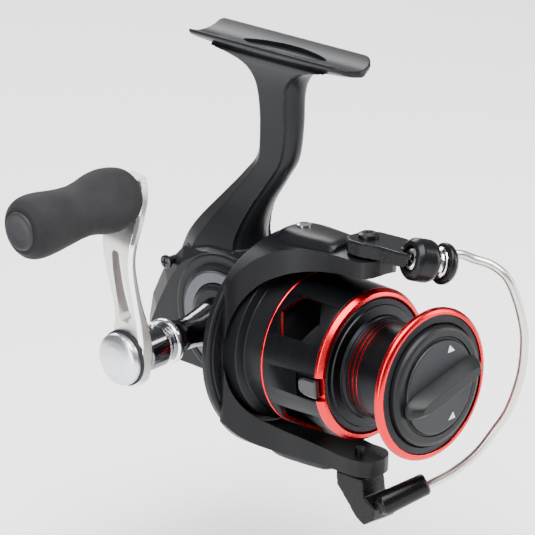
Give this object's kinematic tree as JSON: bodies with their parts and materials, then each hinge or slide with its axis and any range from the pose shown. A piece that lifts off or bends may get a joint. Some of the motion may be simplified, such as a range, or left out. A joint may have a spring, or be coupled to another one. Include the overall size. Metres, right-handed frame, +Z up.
{
  "type": "spinning reel",
  "caption": "Open-face spinning reel with front drag: stem and foot, geared rotor with folding bail, sliding spool, drag knob and cranked handle.",
  "frame": {"origin": "middle of the foot's saddle, where the reel sits on the rod", "axes": "+Z up into the rod, -Y forward along the spool axis, handle on the -X side"},
  "size_m": [0.1279, 0.1213, 0.1378],
  "materials": {
    "body_black": "satin black paint with a faint cool sheen",
    "rotor_black": "satin black paint",
    "bail_black": "smooth black lacquer",
    "screw_steel": "bright",
    "black_steel": "black oxide",
    "dial_grey": "satin dark grey",
    "bearing_steel": "ground",
    "shaft_steel": "ground",
    "gear_alloy": "cast and machined",
    "gear_brass": "machined",
    "gear_plastic": "moulded acetal",
    "dark_chrome": "smoked chrome",
    "bright_chrome": "polished",
    "arm_aluminium": "machined satin",
    "dark_ring": "matt",
    "dome_steel": "brushed",
    "knob_rubber": "soft-touch matt",
    "knob_cap_plastic": "matt",
    "bush_plastic": "matt",
    "seal_rubber": "matt",
    "wire_steel": "satin",
    "spool_black": "black anodised with red edges",
    "band_rubber": "ribbed",
    "clip_black": "gloss",
    "felt": "oiled felt",
    "washer_steel": "stamped",
    "knob_black": "satin moulded"
  },
  "bodies": {
    "frame": {"body_housing": "body_black", "side_cover": "body_black", "side_cover_screws": "screw_steel", "handle_dial": "dial_grey", "dial_cap": "body_black", "far_side_cap": "body_black", "handle_bearings": "bearing_steel", "pinion_front_bearing": "bearing_steel", "pinion_rear_bearing": "bearing_steel", "clutch_housing": "bearing_steel", "slider_guide": "shaft_steel"},
    "handle": {"drive_gear": "gear_alloy", "axle_gear": "gear_alloy", "handle_shank": "dark_chrome", "shank_ring": "bright_chrome", "handle_barrel": "dark_chrome", "barrel_pin": "screw_steel", "handle_arm": "arm_aluminium", "dome_ring": "dark_ring", "dome_screw": "dome_steel", "knob_axle": "bright_chrome"},
    "knob": {"knob_grip": "knob_rubber", "knob_cap": "knob_cap_plastic", "knob_bushes": "bush_plastic"},
    "oscillator": {"oscillation_gear": "gear_plastic"},
    "rotor": {"pinion_gear": "gear_brass", "clutch_sleeve": "bearing_steel", "rotor": "rotor_black", "rotor_nut": "gear_brass", "nut_lock": "screw_steel", "rotor_brake_ring": "seal_rubber", "upper_arm_cover": "rotor_black", "lower_arm_cover": "rotor_black", "arm_cover_screws": "screw_steel", "bail_pivot_screws": "black_steel", "bail_spring": "shaft_steel"},
    "bail": {"bail_arm": "bail_black", "wire_cone": "bail_black", "roller_screw": "screw_steel", "roller_bush": "bush_plastic", "bail_wire": "wire_steel", "bail_holder": "bail_black"},
    "line_roller": {"line_roller": "bright_chrome"},
    "kick_lever": {"kick_lever": "screw_steel"},
    "spool_shaft": {"main_shaft": "shaft_steel", "slider": "gear_plastic", "spool_seat": "gear_brass", "click_ratchet": "gear_plastic", "metal_washers": "washer_steel", "drag_spring": "shaft_steel"},
    "spool": {"spool": "spool_black", "arbor_band": "band_rubber", "felt_washers": "felt", "eared_washer": "washer_steel", "retaining_ring": "shaft_steel"},
    "line_clip": {"line_clip": "clip_black"},
    "drag_knob": {"drag_knob": "knob_black", "knob_grip_bar": "knob_black", "knob_seal": "seal_rubber"},
    "drag_nut": {"drag_nut": "gear_brass"}
  },
  "joints": [
    {"name": "handle_crank", "type": "hinge", "parent": "frame", "child": "handle", "pos_m": [0, 0.0158, -0.0832], "axis": [1, 0, 0], "continuous": true},
    {"name": "knob_spin", "type": "hinge", "parent": "handle", "child": "knob", "pos_m": [0, 0.00833, -0.03073], "axis": [1, 0, 0], "continuous": true},
    {"name": "oscillation_turn", "type": "hinge", "parent": "frame", "child": "oscillator", "pos_m": [0, 0.0315, -0.0879], "axis": [1, 0, 0], "continuous": true},
    {"name": "rotor_spin", "type": "hinge", "parent": "frame", "child": "rotor", "pos_m": [0, 0, -0.0884], "axis": [0, -1, 0], "continuous": true},
    {"name": "bail_swing", "type": "hinge", "parent": "rotor", "child": "bail", "pos_m": [0, -0.0297, -0.0884], "axis": [-0.0785, 0, -0.9969], "range_deg": [0, 105]},
    {"name": "roller_turn", "type": "hinge", "parent": "bail", "child": "line_roller", "pos_m": [0.01155, -0.0507, -0.05641], "axis": [0.898, -0.3002, -0.3216], "continuous": true},
    {"name": "kick_lever_slide", "type": "slide", "parent": "rotor", "child": "kick_lever", "axis": [0, 1, 0], "range_m": [0, 0.001]},
    {"name": "spool_stroke", "type": "slide", "parent": "frame", "child": "spool_shaft", "axis": [0, -1, 0], "range_m": [-0.0028, 0.008]},
    {"name": "spool_slip", "type": "hinge", "parent": "spool_shaft", "child": "spool", "pos_m": [0, 0, -0.0884], "axis": [0, -1, 0], "continuous": true},
    {"name": "line_clip_lift", "type": "slide", "parent": "spool", "child": "line_clip", "axis": [-0.9986, 0, -0.0523], "range_m": [0, 0.0006], "stiffness_N_per_m": 800},
    {"name": "drag_turn", "type": "hinge", "parent": "spool_shaft", "child": "drag_knob", "pos_m": [0, 0, -0.0884], "axis": [0, -1, 0], "range_deg": [-360, 360]},
    {"name": "drag_nut_travel", "type": "slide", "parent": "drag_knob", "child": "drag_nut", "axis": [0, 1, 0], "range_m": [-0.0008, 0.0008]}
  ],
  "couplings": [
    {"joint": "rotor_spin", "follows": "handle_crank", "ratio": 5},
    {"joint": "oscillation_turn", "follows": "handle_crank", "ratio": -0.5},
    {"joint": "kick_lever_slide", "follows": "bail_swing", "m_per_rad": 0.0004911},
    {"joint": "drag_nut_travel", "follows": "drag_turn", "m_per_rad": 0.00011141}
  ]
}
